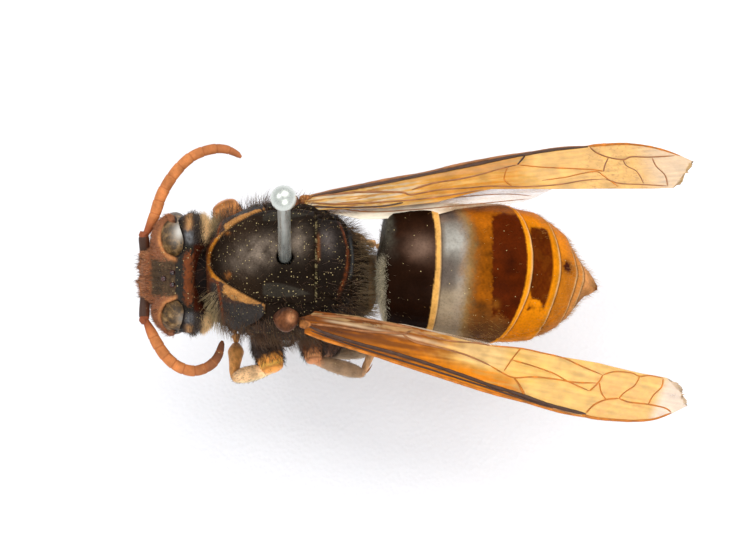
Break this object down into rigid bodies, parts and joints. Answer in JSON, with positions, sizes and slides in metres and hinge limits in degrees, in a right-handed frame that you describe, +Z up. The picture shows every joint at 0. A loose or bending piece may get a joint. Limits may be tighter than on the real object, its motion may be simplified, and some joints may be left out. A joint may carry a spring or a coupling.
{
  "type": "pinned asian hornet specimen",
  "caption": "Dried hornet held by a steel pin over a plain flat base, wings folded lengthwise, legs drawn in under the body.",
  "frame": {"origin": "middle of the base's underside, on the surface that the specimen stands on", "axes": "+Z up along the pin, +X from the head toward the tip of the abdomen, +Y toward the insect's right side"},
  "size_m": [0.038, 0.034, 0.0272],
  "materials": {
    "head_shell": "satin",
    "eye": "gloss",
    "mandible": "satin",
    "antenna": "satin",
    "pronotum_shell": "satin",
    "thorax_shell": "satin",
    "tegula": "satin",
    "gaster_dark": "satin",
    "gaster_amber": "satin",
    "leg": "satin",
    "wing": "gloss",
    "pin_steel": "polished",
    "base_white": "matte"
  },
  "bodies": {
    "root": {"head": "head_shell", "eye_left": "eye", "eye_right": "eye", "mandible_left": "mandible", "mandible_right": "mandible", "antenna_left": "antenna", "antenna_right": "antenna", "pronotum": "pronotum_shell", "mesothorax": "thorax_shell", "scutellum": "thorax_shell", "propodeum": "thorax_shell", "tegula_left": "tegula", "tegula_right": "tegula", "gaster_1": "gaster_dark", "gaster_2": "gaster_amber", "gaster_3": "gaster_amber", "gaster_4": "gaster_amber", "gaster_5": "gaster_amber", "foreleg_left": "leg", "foreleg_right": "leg", "midleg_left": "leg", "midleg_right": "leg", "hindleg_left": "leg", "hindleg_right": "leg", "forewing_left": "wing", "forewing_right": "wing", "hindwing_left": "wing", "hindwing_right": "wing", "pin": "pin_steel", "stand_base": "base_white"}
  },
  "joints": []
}
